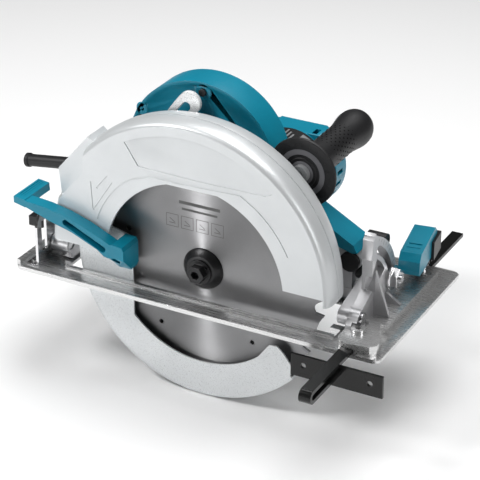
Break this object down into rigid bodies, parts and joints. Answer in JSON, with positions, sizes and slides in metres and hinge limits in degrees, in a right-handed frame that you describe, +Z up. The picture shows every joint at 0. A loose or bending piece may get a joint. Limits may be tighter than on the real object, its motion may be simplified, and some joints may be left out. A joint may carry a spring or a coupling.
{
  "type": "circular saw",
  "caption": "Corded hand-held circular saw with side motor, metal blade case, retracting lower guard, tilting sole plate, rip fence and side grip",
  "frame": {"origin": "arbor axis at the blade's middle plane", "axes": "+X forwards along the cut, +Y towards the motor, +Z up from the sole"},
  "size_m": [0.4671, 0.3641, 0.323],
  "materials": {
    "cast": "satin",
    "sole": "brushed",
    "steel": "brushed",
    "chrome": "polished",
    "white_plate": "satin",
    "teal": "satin",
    "black_paint": "gloss",
    "black_oxide": "matte",
    "black_rubber": "matte",
    "black_plastic": "matte",
    "carbide": "satin",
    "copper": "satin",
    "core": "matte"
  },
  "bodies": {
    "base": {"base_plate": "sole", "bevel_quadrant": "cast", "rear_bracket": "chrome", "base_screws": "steel"},
    "fence": {"rip_fence": "black_paint"},
    "fence_clamp": {"clamp_screw": "chrome", "clamp_hub": "black_plastic", "clamp_lever": "teal"},
    "tilt": {"tilt_frame": "cast", "depth_guide": "white_plate", "depth_pivot_pin": "steel", "bevel_pins": "steel", "bevel_bolt": "steel", "bevel_nut": "chrome"},
    "bevel_clamp": {"bevel_lever": "black_plastic"},
    "head": {"blade_case": "cast", "case_screws": "steel", "bearing_box": "cast", "guard_retainer": "steel", "spindle_bearing_inner": "steel", "spindle_bearing_outer": "steel", "gear_housing": "cast", "pivot_cap": "black_plastic", "motor_housing": "teal", "baffle_ring": "black_plastic", "stator": "core", "motor_cover": "teal", "cover_screws": "steel", "armature_bearing_front": "steel", "armature_bearing_rear": "steel", "brush_holders": "black_plastic", "brush_caps": "black_plastic", "front_fairing": "teal", "handle_right": "teal", "handle_left": "teal", "handle_screws": "steel", "switch_body": "black_plastic", "cord_guard": "black_rubber", "side_grip": "black_rubber", "grip_stud": "steel", "depth_bolt": "steel"},
    "depth_clamp": {"depth_lever": "black_plastic"},
    "blade": {"saw_blade": "steel", "carbide_tips": "carbide", "inner_flange": "black_oxide", "outer_flange": "black_oxide", "blade_bolt": "black_oxide", "spindle": "steel", "spindle_gear": "steel"},
    "armature": {"armature_shaft": "steel", "armature_core": "core", "commutator": "copper", "fan": "black_plastic"},
    "guard": {"lower_guard": "cast", "guard_lever": "teal", "lever_screw": "steel", "guard_spring": "steel"},
    "trigger": {"trigger": "black_plastic"},
    "lock_off": {"lock_off_button": "black_plastic"},
    "spindle_lock": {"shaft_lock": "black_plastic"}
  },
  "joints": [
    {"name": "fence_slide", "type": "slide", "parent": "base", "child": "fence", "axis": [0, 1, 0], "range_m": [-0.075, 0.015]},
    {"name": "fence_clamp_turn", "type": "hinge", "parent": "base", "child": "fence_clamp", "pos_m": [0.17475, 0.143, 0], "axis": [0, 0, 1], "range_deg": [0, 80]},
    {"name": "bevel", "type": "hinge", "parent": "base", "child": "tilt", "pos_m": [0, 0.003, -0.014], "axis": [1, 0, 0], "range_deg": [0, 45]},
    {"name": "bevel_clamp_turn", "type": "hinge", "parent": "tilt", "child": "bevel_clamp", "pos_m": [0, 0.07049, 0.00035], "axis": [1, 0, 0], "range_deg": [-50, 0]},
    {"name": "depth", "type": "hinge", "parent": "tilt", "child": "head", "pos_m": [0.138, 0, 0.02], "axis": [0, 1, 0], "range_deg": [0, 36]},
    {"name": "depth_clamp_turn", "type": "hinge", "parent": "head", "child": "depth_clamp", "pos_m": [-0.082, 0, 0.02], "axis": [0, 1, 0], "range_deg": [0, 40]},
    {"name": "blade_spin", "type": "hinge", "parent": "head", "child": "blade", "pos_m": [0, 0, 0], "axis": [0, 1, 0], "continuous": true},
    {"name": "armature_spin", "type": "hinge", "parent": "head", "child": "armature", "pos_m": [0.001, 0, 0.033], "axis": [0, 1, 0], "continuous": true},
    {"name": "guard_swing", "type": "hinge", "parent": "head", "child": "guard", "pos_m": [0, 0, 0], "axis": [0, 1, 0], "range_deg": [0, 125], "stiffness_Nm_per_rad": 0.4, "springref_deg": -40.11},
    {"name": "trigger_pull", "type": "slide", "parent": "head", "child": "trigger", "axis": [0, 0, 1], "range_m": [0, 0.0045], "stiffness_N_per_m": 900, "springref_m": -0.002},
    {"name": "lock_off_press", "type": "slide", "parent": "head", "child": "lock_off", "axis": [0, 1, 0], "range_m": [0, 0.0025], "stiffness_N_per_m": 600, "springref_m": -0.002},
    {"name": "spindle_lock_press", "type": "slide", "parent": "head", "child": "spindle_lock", "axis": [0, 0, -1], "range_m": [0, 0.004], "stiffness_N_per_m": 600, "springref_m": -0.002}
  ],
  "couplings": [
    {"joint": "armature_spin", "follows": "blade_spin", "ratio": -4.5}
  ]
}
